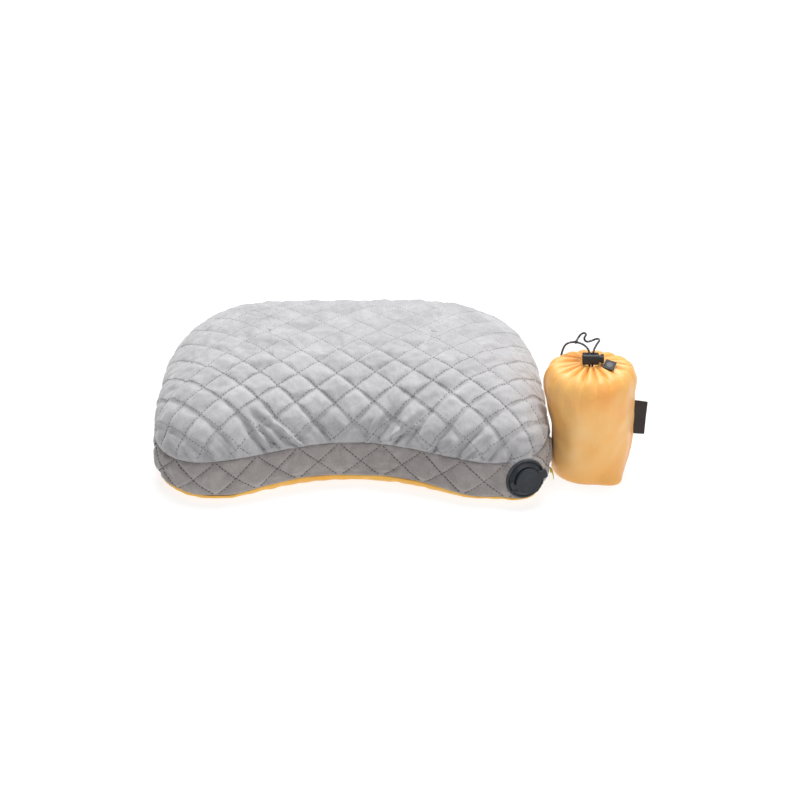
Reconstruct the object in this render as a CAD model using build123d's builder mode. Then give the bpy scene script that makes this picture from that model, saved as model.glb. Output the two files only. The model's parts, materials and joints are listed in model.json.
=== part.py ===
from build123d import *
import math
import os

os.makedirs("parts", exist_ok=True)

# Camp pillow: an inflatable bladder in a quilted cover, with a two-stage air valve at one front
# corner, and the pillow's stuff sack standing beside it, packed and drawn shut. Millimetres, +Z up,
# origin on the pillow's underside. The concave, neck-side edge faces -Y. The valve is at +X.

# ---------------------------------------------------------------- pillow form
HEIGHT = 104.0          # underside to crown
RIDGE_HALF = 75.0       # half length of the ridge line that every plan outline closes in on
RIDGE_Y = 12.0
HALF_OUTLINE = (        # widest plan outline, from the middle of the back to the middle of the front
    (0, 137), (78, 136), (140, 112), (175, 58), (185, -5), (187.5, -68),
    (180, -112), (146, -141), (106, -139), (58, -120), (0, -108),
)
VALVE_CORNER = (183, -110), (170, -131), (148, -141)    # squarer corner where the valve is set
CROSS_SECTION = (       # height, and how far the outline has closed in on the ridge line there
    (0, 0.15), (3, 0.075), (12, 0.015), (28, 0), (50, 0.02),
    (66, 0.06), (80, 0.15), (91, 0.31), (98, 0.49), (102, 0.67), (104, 0.81),
)
SEAM_LOW = 12.0         # bottom panel to side band
SEAM_HIGH = 50.0        # side band to top panel

# layers, as depths below the outer face
COVER = (0.0, 1.0)
WADDING = (1.3, 5.8)
BACKING = (6.2, 7.2)
BLADDER = (8.4, 9.4)
FILM_FLOOR = (1.4, 2.4) # the bladder rests on the bottom panel, which has no wadding

# ---------------------------------------------------------------- valve
VALVE_CENTRE = Vector(161, -138, 27)
VALVE_BEARING = -67.8   # compass of the valve's axis in plan, degrees from +X
VALVE_TILT = 5.7        # the axis looks up a little
VALVE_ROLL = 14.4       # the lid's tab is turned up from level
BEZEL_R = 19.0
BEZEL_TOP = 2.0
BEZEL_CHAMFER = 0.6
LIP_R = 17.0
LIP_CHAMFER = 0.3
COLLAR_R = 16.7
COLLAR_BORE_R = 15.0
COLLAR_TOP = 0.8
WELD_RING_R = 19.7
WELD_RING_TOP = -9.8
WELD_RING_T = 1.0
PAD_R = 23.0            # the fabric is drawn up flat under the bezel over this radius
PAD_DROP = 0.2
PAD_NARROWING = 0.25    # each layer's flat is smaller than the one outside it
HUB_R = 2.8
STEM_HOLE_R = 1.5
SPOKE_W = 1.6
SPOKE_OVERLAP = 0.8
STEM_R = 1.2
BULB_R = 2.0
BULB_SIDE = 0.8
BULB_H = 1.8
MEMBRANE_R = 9.6
MEMBRANE_T = 0.7
MEMBRANE_GAP = 0.15
MEMBRANE_LIFT = 1.2
PLUG_R = 14.7
PLUG_FOOT = -8.0
SHOULDER_R = 16.6
SHOULDER_EDGE = 0.5
SHOULDER_TOP_R = 13.4
SHOULDER_TOP = 4.6
PORT_R = 8.0            # bore that is blown into
PORT_WALL = 1.6
PORT_TOP = 6.2
PORT_STEP = 1.4         # the bore is narrower below this
PORT_NECK_R = 7.6
SEAT_Z = -3.0           # the membrane closes against this face
SPIDER_T = 1.0
CHAMBER_R = 11.0
SEAL_SECTION = 1.6
SEAL_Z = -5.5
SEAL_PROUD = 0.2
LID_R = 12.4
LID_FOOT = 5.9
LID_TOP = 8.4
LID_RECESS_R = 10.9
LID_CEILING = 7.2
LID_DISH = 0.5
LID_EDGE = 0.5
LID_RIM = 1.0
LID_OVERLAP = 0.2       # the tab and the arm start this far inside the lid's wall
TAB_CORNER = 1.5
LID_SEAL_GAP = 0.2
LID_SEAL_IN_R, LID_SEAL_OUT_R = 7.2, 10.5
TAB_TIP = 19.5
TAB_W = 8.0
HINGE_X = -14.6
HINGE_Z = 4.8
HINGE_PIN_R = 0.8
KNUCKLE_R = 1.9
KNUCKLE_W = 5.0
POCKET_OUT, POCKET_IN = -18.1, -11.9    # the pocket in the shoulder that the knuckle turns in
EAR_R = 2.2
EAR_T = 2.0
EAR_FOOT_IN = 0.9       # the ear's foot stops this far inside its round, clear of the bezel
EAR_GAP = 0.3
RUNNING = 0.06          # radial clearance of a pin in its knuckle

# ---------------------------------------------------------------- side tab
TAB_Y = -96.0
SIDE_TAB_W = 8.0
SIDE_TAB = ((187.5, 12), (190.5, 11), (192.5, 3), (191, 2.6), (189.2, 9), (187.2, 10.4))

# ---------------------------------------------------------------- stuff sack
SACK_X, SACK_Y = 223.2, -74.0
SACK_CLOTH = 0.8
SACK_PROFILE = (        # radius, height
    (31, 0), (33.8, 20), (36.8, 50), (41, 84), (40, 99), (33, 108), (21, 112), (12, 113),
)
ROLL_GAP = 0.6          # between the sack's cloth and the roll packed in it
ROLL_DROP = 2.0
CHANNEL_IN_R = 6.8
CHANNEL_OUT_R = 9.8
CHANNEL_FOOT = 109.0
CHANNEL_TOP = 114.0
CHANNEL_CORNER = 1.2
TUNNEL_R = 1.2
CORD_D = 2.0
STRAND_FOOT = 111.5
STRAND_START = 118.5    # where the two free strands begin, inside the cord lock
LEFT_STRAND = (
    (221.2, -78, STRAND_START), (221.2, -78, 127.5), (216, -71.2, 131), (209.2, -63.2, 129.4),
    (203, -56.2, 125.4), (198.6, -51, 118.6), (197, -48.6, 108),
)
RIGHT_STRAND = (
    (223.8, -78, STRAND_START), (223.8, -78, 127.3), (227.5, -71, 131), (231.2, -64.5, 132),
    (229, -60.2, 131.8), (222.6, -61.8, 129.4), (217.6, -63.8, 129.6), (215.8, -62.4, 132.8),
    (218.4, -59.8, 136), (216.6, -57, 136.2), (213, -58.8, 133.4), (209.2, -63.2, 129.4),
)
KNOT = LEFT_STRAND[3]
KNOT_SIZE = 4.4
LOCK_Y = -78.0
LOCK_Z = 119.8
LOCK_SIZE = 10.0
LOCK_CORNER = 3.0
LOCK_ROUND = 0.96
LOCK_LEFT, LOCK_RIGHT = 214.4, 229.2
LOCK_BORE_R = 3.8
LOCK_FLOOR = 1.2
PLUNGER_R = 3.5
PLUNGER_LEFT = 219.0
PRESS_TRAVEL = 2.0
BUTTON_T = 2.6
BUTTON_SIZE = 7.6
BUTTON_CORNER = 2.0
BUTTON_ROUND = 0.7
WINDOW_W = 2.8
SPRING_R = 2.5
SPRING_WIRE = 0.45
SPRING_TURNS = 3
SPRING_GAP = 0.1        # at each end of the spring
PATCH = (239.3, -82.4, 115.0)
PATCH_SIZE = 10.4
PATCH_T = 1.2
PATCH_CORNER = 0.8
PATCH_TURN = -23.0
PATCH_TILT = 22.0       # its front edge hangs down over the shoulder
LABEL_T = 1.0
LABEL = ((265.2, 74), (277.6, 72.6), (276, 37), (263.8, 39))
CLEAR = 0.3


def direction(bearing, tilt):
    b = math.radians(bearing)
    t = math.radians(tilt)
    return Vector(math.cos(b) * math.cos(t), math.sin(b) * math.cos(t), math.sin(t))


outward = direction(VALVE_BEARING, VALVE_TILT)
level = direction(VALVE_BEARING + 90, 0)
tab_way = level.rotate(Axis((0, 0, 0), outward), VALVE_ROLL)
valve = Plane(origin=VALVE_CENTRE, x_dir=tab_way, z_dir=outward)
valve_section = Plane(origin=VALVE_CENTRE, x_dir=tab_way, z_dir=-valve.y_dir)
valve_axis = Axis(VALVE_CENTRE, outward)
sack_section = Plane(origin=(SACK_X, SACK_Y, 0), x_dir=(1, 0, 0), z_dir=(0, -1, 0))
sack_axis = Axis((SACK_X, SACK_Y, 0), (0, 0, 1))


def outline_points():
    right = list(HALF_OUTLINE)
    right[6:8] = VALVE_CORNER
    left = [(-x, y) for x, y in reversed(HALF_OUTLINE[1:-1])]
    return right + left


def drawn_in(point, fraction, depth):
    """A point of the plan outline, moved towards the ridge line."""
    x, y = point
    ridge_x = max(-RIDGE_HALF, min(RIDGE_HALF, x))
    reach = math.hypot(x - ridge_x, y - RIDGE_Y)
    scale = 1 - fraction - depth / reach
    return (ridge_x + (x - ridge_x) * scale, RIDGE_Y + (y - RIDGE_Y) * scale)


def outline_sketch(height, fraction, depth):
    with BuildSketch(Plane.XY.offset(height)) as outline:
        with BuildLine():
            Spline(*[drawn_in(p, fraction, depth) for p in outline_points()], periodic=True)
        make_face()
    return outline.sketch


def disc(plane, radius):
    with BuildSketch(plane) as round_face:
        Circle(radius)
    return round_face.sketch


def form(depth, low, high, floor=0.0):
    """The cushion's form between two seam heights, a depth below its outer face."""
    heights = [(z, k) for z, k in CROSS_SECTION if low <= z <= high]
    roof = depth if high == HEIGHT else 0.0
    stretch = (high - roof - low - floor) / (high - low)
    with BuildPart() as cushion:
        loft([outline_sketch(low + floor + (z - low) * stretch, k, depth) for z, k in heights])
        if under_valve(low, high):
            add(valve_pad(depth, low, high))
    return cushion.part


def under_valve(low, high):
    return low < VALVE_CENTRE.Z + PAD_R and high > VALVE_CENTRE.Z - PAD_R


def valve_pad(depth, low, high):
    """The flat that each layer is drawn up to, under the bezel."""
    with BuildPart() as pad:
        extrude(disc(valve.offset(-PAD_DROP - depth), PAD_R - depth * PAD_NARROWING), amount=-PAD_R)
        split(bisect_by=Plane.XY.offset(low), keep=Keep.TOP)
        split(bisect_by=Plane.XY.offset(high), keep=Keep.BOTTOM)
    return pad.part


def layer(depths, low, high, floor=(0.0, 0.0)):
    """One layer of the cushion between two seams, open round the valve's collar."""
    add(form(depths[0], low, high, floor[0]))
    add(form(depths[1], low, high, floor[1]), mode=Mode.SUBTRACT)
    if under_valve(low, high):
        extrude(disc(valve, COLLAR_R + CLEAR), amount=PAD_R, both=True, mode=Mode.SUBTRACT)


def turned(*points, mode=Mode.ADD):
    """A closed outline in (radius, height), turned about the valve's axis."""
    with BuildSketch(valve_section) as profile:
        with BuildLine():
            Polyline(*points, close=True)
        make_face()
    revolve(profile.sketch, axis=valve_axis, mode=mode)


def section_point(x, z):
    """A point of the valve's section plane, in the row's frame."""
    return VALVE_CENTRE + valve.x_dir * x + outward * z


def block(plane, centre, width, depth, amount, mode=Mode.ADD, both=False, corner=0.0):
    """A rectangle on a plane, drawn out into a bar."""
    with BuildSketch(plane) as outline:
        with Locations(centre):
            if corner:
                RectangleRounded(width, depth, corner)
            else:
                Rectangle(width, depth)
    extrude(outline.sketch, amount=amount, both=both, mode=mode)


def finish(part, label):
    part.part.label = label
    export_step(part.part, f"parts/{label}.step")


# ---------------------------------------------------------------- cover, wadding and bladder
with BuildPart() as top_cover:
    layer(COVER, SEAM_HIGH, HEIGHT)
finish(top_cover, "top_cover")

with BuildPart() as top_wadding:
    layer(WADDING, SEAM_HIGH, HEIGHT)
finish(top_wadding, "top_wadding")

with BuildPart() as top_backing:
    layer(BACKING, SEAM_HIGH, HEIGHT)
finish(top_backing, "top_backing")

with BuildPart() as side_band:
    layer(COVER, SEAM_LOW, SEAM_HIGH)
finish(side_band, "side_band")

with BuildPart() as side_wadding:
    layer(WADDING, SEAM_LOW, SEAM_HIGH)
finish(side_wadding, "side_wadding")

with BuildPart() as side_backing:
    layer(BACKING, SEAM_LOW, SEAM_HIGH)
finish(side_backing, "side_backing")

with BuildPart() as bottom_cover:
    layer(COVER, 0, SEAM_LOW, COVER)
finish(bottom_cover, "bottom_cover")

# the bladder's two films are welded together at the height of the cover's upper seam
with BuildPart() as bladder_upper:
    layer(BLADDER, SEAM_HIGH, HEIGHT)
finish(bladder_upper, "bladder_upper")

with BuildPart() as bladder_lower:
    layer(BLADDER, 0, SEAM_HIGH, FILM_FLOOR)
finish(bladder_lower, "bladder_lower")

with BuildPart() as side_tab:
    # a folded tape sewn into the low seam at the valve's end
    with BuildSketch(Plane(origin=(0, TAB_Y, 0), x_dir=(1, 0, 0), z_dir=(0, -1, 0))):
        with BuildLine():
            Polyline(*SIDE_TAB, close=True)
        make_face()
    extrude(amount=SIDE_TAB_W / 2, both=True)
finish(side_tab, "side_tab")

# ---------------------------------------------------------------- valve, fixed to the bladder
with BuildPart() as valve_flange:
    turned(
        (COLLAR_BORE_R, WELD_RING_TOP - WELD_RING_T),
        (WELD_RING_R, WELD_RING_TOP - WELD_RING_T),
        (WELD_RING_R, WELD_RING_TOP),
        (COLLAR_R, WELD_RING_TOP),
        (COLLAR_R, 0),
        (BEZEL_R, 0),
        (BEZEL_R, BEZEL_TOP - BEZEL_CHAMFER),
        (BEZEL_R - BEZEL_CHAMFER, BEZEL_TOP),
        (LIP_R + LIP_CHAMFER, BEZEL_TOP),
        (LIP_R, BEZEL_TOP - LIP_CHAMFER),
        (LIP_R, COLLAR_TOP),
        (COLLAR_BORE_R, COLLAR_TOP),
    )
finish(valve_flange, "valve_flange")

# ---------------------------------------------------------------- valve plug: pulls out to empty
with BuildPart() as valve_plug:
    turned(
        (PORT_NECK_R, SEAT_Z),
        (CHAMBER_R, SEAT_Z),
        (CHAMBER_R, PLUG_FOOT),
        (PLUG_R, PLUG_FOOT),
        (PLUG_R, SEAL_Z - SEAL_SECTION / 2),
        (PLUG_R - SEAL_SECTION, SEAL_Z - SEAL_SECTION / 2),
        (PLUG_R - SEAL_SECTION, SEAL_Z + SEAL_SECTION / 2),
        (PLUG_R, SEAL_Z + SEAL_SECTION / 2),
        (PLUG_R, COLLAR_TOP + CLEAR),
        (SHOULDER_R, COLLAR_TOP + CLEAR),
        (SHOULDER_R, COLLAR_TOP + CLEAR + SHOULDER_EDGE),
        (SHOULDER_TOP_R, SHOULDER_TOP),
        (PORT_R + PORT_WALL, SHOULDER_TOP),
        (PORT_R + PORT_WALL, PORT_TOP),
        (PORT_R, PORT_TOP),
        (PORT_R, PORT_STEP),
        (PORT_NECK_R, PORT_STEP),
    )
    # spider that holds the membrane's stem
    turned(
        (STEM_HOLE_R, SEAT_Z), (HUB_R, SEAT_Z), (HUB_R, SEAT_Z + SPIDER_T), (STEM_HOLE_R, SEAT_Z + SPIDER_T),
    )
    with BuildSketch(valve.offset(SEAT_Z)) as spokes:
        with PolarLocations((HUB_R + PORT_NECK_R) / 2, 3):
            Rectangle(PORT_NECK_R - HUB_R + SPOKE_OVERLAP, SPOKE_W)
    extrude(spokes.sketch, amount=SPIDER_T)
    # pocket for the lid's knuckle, between two ears
    ear_in = KNUCKLE_W / 2 + EAR_GAP
    pocket_plane = valve.offset(HINGE_Z - KNUCKLE_R - EAR_GAP)
    pocket_middle = (POCKET_OUT + POCKET_IN) / 2
    block(pocket_plane, (pocket_middle, 0), POCKET_IN - POCKET_OUT, 2 * ear_in, PORT_TOP, mode=Mode.SUBTRACT)
    for side in (-1, 1):
        ear_plane = valve_section.offset(side * ear_in)
        with BuildSketch(ear_plane) as ear:
            with Locations((HINGE_X, HINGE_Z)):
                Circle(EAR_R)
            with Locations((HINGE_X + EAR_FOOT_IN / 2, (HINGE_Z + BEZEL_TOP) / 2)):
                Rectangle(2 * EAR_R - EAR_FOOT_IN, HINGE_Z - BEZEL_TOP)
        extrude(ear.sketch, amount=side * EAR_T)
    extrude(disc(Plane(section_point(HINGE_X, HINGE_Z), z_dir=valve.y_dir), HINGE_PIN_R),
            amount=ear_in + EAR_T, both=True, mode=Mode.SUBTRACT)
finish(valve_plug, "valve_plug")

with BuildPart() as plug_seal:
    with BuildSketch(valve_section):
        with Locations((PLUG_R - SEAL_SECTION / 2 + SEAL_PROUD, SEAL_Z)):
            Circle(SEAL_SECTION / 2)
    revolve(axis=valve_axis)
finish(plug_seal, "plug_seal")

with BuildPart() as hinge_pin:
    extrude(disc(Plane(section_point(HINGE_X, HINGE_Z), z_dir=valve.y_dir), HINGE_PIN_R),
            amount=ear_in + EAR_T, both=True)
finish(hinge_pin, "hinge_pin")

# ---------------------------------------------------------------- flip lid
with BuildPart() as valve_lid:
    turned(
        (0, LID_CEILING),
        (LID_RECESS_R, LID_CEILING),
        (LID_RECESS_R, LID_FOOT),
        (LID_R - LIP_CHAMFER, LID_FOOT),
        (LID_R, LID_FOOT + LIP_CHAMFER),
        (LID_R, LID_TOP - LID_EDGE),
        (LID_R - LID_EDGE, LID_TOP),
        (LID_R - LID_EDGE - LID_RIM, LID_TOP),
        (LID_R - LID_EDGE - 2 * LID_RIM, LID_TOP - LID_DISH),
        (0, LID_TOP - LID_DISH),
    )
    # pull tab
    tab_root = LID_RECESS_R + LID_OVERLAP
    block(valve.offset(LID_FOOT), ((tab_root + TAB_TIP) / 2, 0), TAB_TIP - tab_root, TAB_W,
          LID_TOP - LID_FOOT - LID_EDGE, corner=TAB_CORNER)
    # arm and knuckle
    arm_end = -(LID_RECESS_R + LID_OVERLAP)
    with BuildSketch(valve_section) as arm:
        with BuildLine():
            Polyline((arm_end, LID_FOOT), (arm_end, LID_TOP - LID_EDGE), (HINGE_X, HINGE_Z + KNUCKLE_R),
                     (HINGE_X, HINGE_Z), (HINGE_X + KNUCKLE_R, HINGE_Z), close=True)
        make_face()
        with Locations((HINGE_X, HINGE_Z)):
            Circle(KNUCKLE_R)
    extrude(arm.sketch, amount=KNUCKLE_W / 2, both=True)
    extrude(disc(Plane(section_point(HINGE_X, HINGE_Z), z_dir=valve.y_dir), HINGE_PIN_R + RUNNING),
            amount=KNUCKLE_W, both=True, mode=Mode.SUBTRACT)
finish(valve_lid, "valve_lid")

with BuildPart() as lid_seal:
    turned(
        (LID_SEAL_IN_R, PORT_TOP + LID_SEAL_GAP),
        (LID_SEAL_OUT_R, PORT_TOP + LID_SEAL_GAP),
        (LID_SEAL_OUT_R, LID_CEILING),
        (LID_SEAL_IN_R, LID_CEILING),
    )
finish(lid_seal, "lid_seal")

# ---------------------------------------------------------------- one-way membrane
with BuildPart() as membrane:
    face = SEAT_Z - MEMBRANE_GAP
    bulb = SEAT_Z + SPIDER_T + MEMBRANE_LIFT + MEMBRANE_GAP
    turned(
        (0, face - MEMBRANE_T),
        (MEMBRANE_R, face - MEMBRANE_T),
        (MEMBRANE_R, face),
        (STEM_R, face),
        (STEM_R, bulb),
        (BULB_R, bulb),
        (BULB_R, bulb + BULB_SIDE),
        (STEM_R, bulb + BULB_H),
        (0, bulb + BULB_H),
    )
finish(membrane, "membrane")

# ---------------------------------------------------------------- stuff sack
def sack_form(inset):
    """The filled sack's form, a depth inside its cloth."""
    points = [Vector(*p) for p in SACK_PROFILE]
    inner = [points[0] + Vector(-inset, inset)]
    for before, here, after in zip(points, points[1:], points[2:]):
        along = (after - before).normalized()
        inner.append(here + Vector(-along.Y, along.X) * inset)
    inner.append(points[-1] + Vector(0, -inset))
    with BuildPart() as filled:
        with BuildSketch(sack_section) as profile:
            with BuildLine():
                Spline(*inner)
                Polyline(inner[-1], (0, inner[-1].Y), (0, inner[0].Y), inner[0])
            make_face()
        revolve(profile.sketch, axis=sack_axis)
    return filled.part


def sack_panel(keep):
    """The front or the back panel, sewn to the other down both sides, open at the gathered mouth."""
    add(sack_form(0))
    add(sack_form(SACK_CLOTH), mode=Mode.SUBTRACT)
    mouth = disc(Plane((SACK_X, SACK_Y, CHANNEL_FOOT)), CHANNEL_OUT_R + CLEAR)
    extrude(mouth, amount=CHANNEL_TOP, mode=Mode.SUBTRACT)
    split(bisect_by=Plane(origin=(SACK_X, SACK_Y, 0), z_dir=(0, 1, 0)), keep=keep)


def cord(points):
    """A cord along straight runs joined by arcs as large as the runs allow."""
    points = [Vector(*p) for p in points]
    runs = [b - a for a, b in zip(points, points[1:])]
    radii = []
    for before, after in zip(runs, runs[1:]):
        half_turn = math.radians(before.get_angle(after)) / 2
        radii.append(0.45 * min(before.length, after.length) / math.tan(half_turn))
    with BuildPart() as tube:
        with BuildLine() as route:
            FilletPolyline(*points, radius=radii)
        section = disc(Plane(points[0], z_dir=runs[0]), CORD_D / 2)
        sweep(section, path=route.line)
    length = sum(edge.length for edge in route.line.edges())
    print("cord", round(length, 1), "mm, radii", [round(r, 1) for r in radii],
          "volume", round(tube.part.volume / (length * math.pi * CORD_D ** 2 / 4), 4))
    return tube.part


with BuildPart() as sack_front:
    sack_panel(Keep.BOTTOM)
finish(sack_front, "sack_front")

with BuildPart() as sack_back:
    sack_panel(Keep.TOP)
finish(sack_back, "sack_back")

with BuildPart() as packed_roll:
    add(sack_form(SACK_CLOTH + ROLL_GAP))
    top_face = disc(Plane((SACK_X, SACK_Y, CHANNEL_FOOT - ROLL_DROP)), 2 * SACK_PROFILE[0][0])
    extrude(top_face, amount=CHANNEL_TOP, mode=Mode.SUBTRACT)
finish(packed_roll, "packed_roll")

with BuildPart() as cord_channel:
    # the gathered hem, with a tunnel for the drawcord
    tunnel_at = ((CHANNEL_IN_R + CHANNEL_OUT_R) / 2, (CHANNEL_FOOT + CHANNEL_TOP) / 2)
    with BuildSketch(sack_section) as hem:
        with Locations(tunnel_at):
            RectangleRounded(CHANNEL_OUT_R - CHANNEL_IN_R, CHANNEL_TOP - CHANNEL_FOOT, CHANNEL_CORNER)
            Circle(TUNNEL_R, mode=Mode.SUBTRACT)
    revolve(hem.sketch, axis=sack_axis)
finish(cord_channel, "cord_channel")

with BuildPart() as channel_cord:
    with BuildSketch(sack_section) as cord_section:
        with Locations(tunnel_at):
            Circle(CORD_D / 2)
    revolve(cord_section.sketch, axis=sack_axis)
    for strand in (LEFT_STRAND, RIGHT_STRAND):
        riser = disc(Plane((strand[0][0], strand[0][1], STRAND_FOOT)), CORD_D / 2)
        extrude(riser, amount=STRAND_START - STRAND_FOOT)
finish(channel_cord, "channel_cord")

with BuildPart() as cord_left:
    add(cord(LEFT_STRAND))
finish(cord_left, "cord_left")

with BuildPart() as cord_right:
    add(cord(RIGHT_STRAND))
finish(cord_right, "cord_right")

with BuildPart() as cord_knot:
    with BuildSketch(Plane(KNOT)) as half_round:
        with BuildLine():
            CenterArc((0, 0), KNOT_SIZE / 2, -90, 180)
            Line((0, KNOT_SIZE / 2), (0, -KNOT_SIZE / 2))
        make_face()
    revolve(half_round.sketch, axis=Axis(KNOT, (0, 1, 0)))
finish(cord_knot, "cord_knot")

# ---------------------------------------------------------------- cord lock
lock_plane = Plane(origin=(LOCK_LEFT, LOCK_Y, LOCK_Z), x_dir=(0, 1, 0), z_dir=(1, 0, 0))
strand_low = LEFT_STRAND[0][0] - CORD_D / 2 - CLEAR
strand_high = RIGHT_STRAND[0][0] + CORD_D / 2 + CLEAR


def lock_window(low, high):
    """The slot that both strands pass up through."""
    middle = ((low + high) / 2, LOCK_Y)
    block(Plane((0, 0, LOCK_Z)), middle, high - low, WINDOW_W, LOCK_SIZE, both=True, mode=Mode.SUBTRACT)


with BuildPart() as lock_barrel:
    block(lock_plane, (0, 0), LOCK_SIZE, LOCK_SIZE, LOCK_RIGHT - LOCK_LEFT, corner=LOCK_CORNER)
    fillet(lock_barrel.faces().sort_by(Axis.X)[0].edges(), LOCK_ROUND)
    extrude(disc(lock_plane.offset(LOCK_FLOOR), LOCK_BORE_R), amount=LOCK_RIGHT, mode=Mode.SUBTRACT)
    lock_window(strand_low, strand_high)
finish(lock_barrel, "lock_barrel")

with BuildPart() as lock_plunger:
    button_foot = LOCK_RIGHT + PRESS_TRAVEL + CLEAR
    extrude(disc(lock_plane.offset(PLUNGER_LEFT - LOCK_LEFT), PLUNGER_R), amount=button_foot - PLUNGER_LEFT)
    button_plane = lock_plane.offset(button_foot - LOCK_LEFT)
    block(button_plane, (0, 0), BUTTON_SIZE, BUTTON_SIZE, BUTTON_T, corner=BUTTON_CORNER)
    fillet(lock_plunger.faces().sort_by(Axis.X)[-1].edges(), BUTTON_ROUND)
    lock_window(strand_low, strand_high + PRESS_TRAVEL)
finish(lock_plunger, "lock_plunger")

with BuildPart() as lock_spring:
    spring_foot = LOCK_FLOOR + SPRING_WIRE + SPRING_GAP
    spring_length = PLUNGER_LEFT - LOCK_LEFT - spring_foot - SPRING_WIRE - SPRING_GAP
    spring_plane = lock_plane.offset(spring_foot)
    with BuildLine() as coil:
        Helix(spring_length / SPRING_TURNS, spring_length, SPRING_R)
    coil_path = spring_plane.from_local_coords(coil.line)
    wire_section = disc(Plane(coil_path @ 0, z_dir=coil_path % 0), SPRING_WIRE)
    sweep(wire_section, path=coil_path)
finish(lock_spring, "lock_spring")

# ---------------------------------------------------------------- sewn-on trim
with BuildPart() as square_patch:
    patch_plane = Plane(PATCH).rotated((PATCH_TILT, 0, PATCH_TURN))
    block(patch_plane, (0, 0), PATCH_SIZE, PATCH_SIZE, PATCH_T, corner=PATCH_CORNER)
finish(square_patch, "square_patch")

with BuildPart() as side_label:
    with BuildSketch(Plane(origin=(0, SACK_Y, 0), x_dir=(1, 0, 0), z_dir=(0, -1, 0))) as flag:
        with BuildLine():
            Polyline(*LABEL, close=True)
        make_face()
    extrude(flag.sketch, amount=LABEL_T / 2, both=True)
finish(side_label, "side_label")
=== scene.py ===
import json
import math

import bmesh
import bpy
import numpy as np
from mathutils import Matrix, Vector
from mathutils.bvhtree import BVHTree


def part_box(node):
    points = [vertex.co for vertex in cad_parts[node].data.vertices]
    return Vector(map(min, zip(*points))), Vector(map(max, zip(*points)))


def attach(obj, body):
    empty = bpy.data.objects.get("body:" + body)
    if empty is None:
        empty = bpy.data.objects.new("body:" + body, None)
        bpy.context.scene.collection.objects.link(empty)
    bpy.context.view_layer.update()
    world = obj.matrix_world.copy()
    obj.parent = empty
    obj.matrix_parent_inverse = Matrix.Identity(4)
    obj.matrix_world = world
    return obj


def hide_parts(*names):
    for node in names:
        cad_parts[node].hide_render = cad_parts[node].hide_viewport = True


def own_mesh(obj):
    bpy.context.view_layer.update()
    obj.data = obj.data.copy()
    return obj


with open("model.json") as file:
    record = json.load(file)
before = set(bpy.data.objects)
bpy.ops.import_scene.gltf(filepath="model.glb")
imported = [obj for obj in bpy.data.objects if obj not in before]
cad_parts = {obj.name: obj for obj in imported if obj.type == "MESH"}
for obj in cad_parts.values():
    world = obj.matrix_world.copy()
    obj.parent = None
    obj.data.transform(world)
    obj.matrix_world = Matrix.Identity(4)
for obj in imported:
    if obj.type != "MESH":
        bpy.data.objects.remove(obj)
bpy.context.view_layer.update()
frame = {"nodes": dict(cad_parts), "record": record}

MM = 0.001
RIDGE_HALF = 75 * MM        # the plan outline closes in on a ridge line this long each way
RIDGE_Y = 12 * MM
SEAM_LOW = 12 * MM
SEAM_HIGH = 50 * MM
FAR = 0.4                   # outside the object in any direction

QUILT_U = 26.3 * MM         # spacing of the top panel's two families of stitch lines
QUILT_W = 24.6 * MM
QUILT_W_START = 9.9 * MM
BAND_PERIOD = 39.3 * MM     # spacing of the side band's diamonds along the seam
BAND_START_X = -11 * MM     # a crossing stands here at the middle of the front

record_mounts = {m["name"]: m for m in frame["record"]["mounts"]}
valve_axis = Vector(record_mounts["inflation_port"]["axis"]).normalized()


# ---- camera, light and floor
AIM = Vector((0.046, -0.020, 0.044))
ELEVATION = math.radians(29)
CAMERA_DISTANCE = 2.2
LENS = 103


def make_camera():
    camera_data = bpy.data.cameras.new("camera")
    camera_data.lens = LENS
    camera = bpy.data.objects.new("camera", camera_data)
    bpy.context.collection.objects.link(camera)
    back = Vector((0, -math.cos(ELEVATION), math.sin(ELEVATION)))
    camera.location = AIM + back * CAMERA_DISTANCE
    camera.rotation_euler = (-back).to_track_quat("-Z", "Y").to_euler()
    bpy.context.scene.camera = camera


def area_light(name, place, target, size, power):
    light = bpy.data.lights.new(name, "AREA")
    light.size = size
    light.energy = power
    lamp = bpy.data.objects.new(name, light)
    bpy.context.collection.objects.link(lamp)
    lamp.location = place
    lamp.rotation_euler = (Vector(target) - Vector(place)).to_track_quat("-Z", "Y").to_euler()


def make_studio():
    world = bpy.data.worlds.new("studio")
    world.use_nodes = True
    background = world.node_tree.nodes["Background"]
    background.inputs["Color"].default_value = WHITE
    background.inputs["Strength"].default_value = 0.32
    bpy.context.scene.world = world
    bpy.context.scene.view_settings.view_transform = "Standard"
    area_light("key", (0.12, 0.55, 1.9), (0.03, 0.0, 0.03), 1.5, 53.0)
    area_light("fill", (0.9, -1.2, 1.1), (0.1, 0.0, 0.05), 0.8, 7.0)
    mesh = bpy.data.meshes.new("floor")
    half = 4.0
    corners = [(-half, -half, 0), (half, -half, 0), (half, half, 0), (-half, half, 0)]
    mesh.from_pydata(corners, [], [(0, 1, 2, 3)])
    floor = bpy.data.objects.new("floor", mesh)
    bpy.context.collection.objects.link(floor)
    floor.data.materials.append(floor_material())


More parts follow.
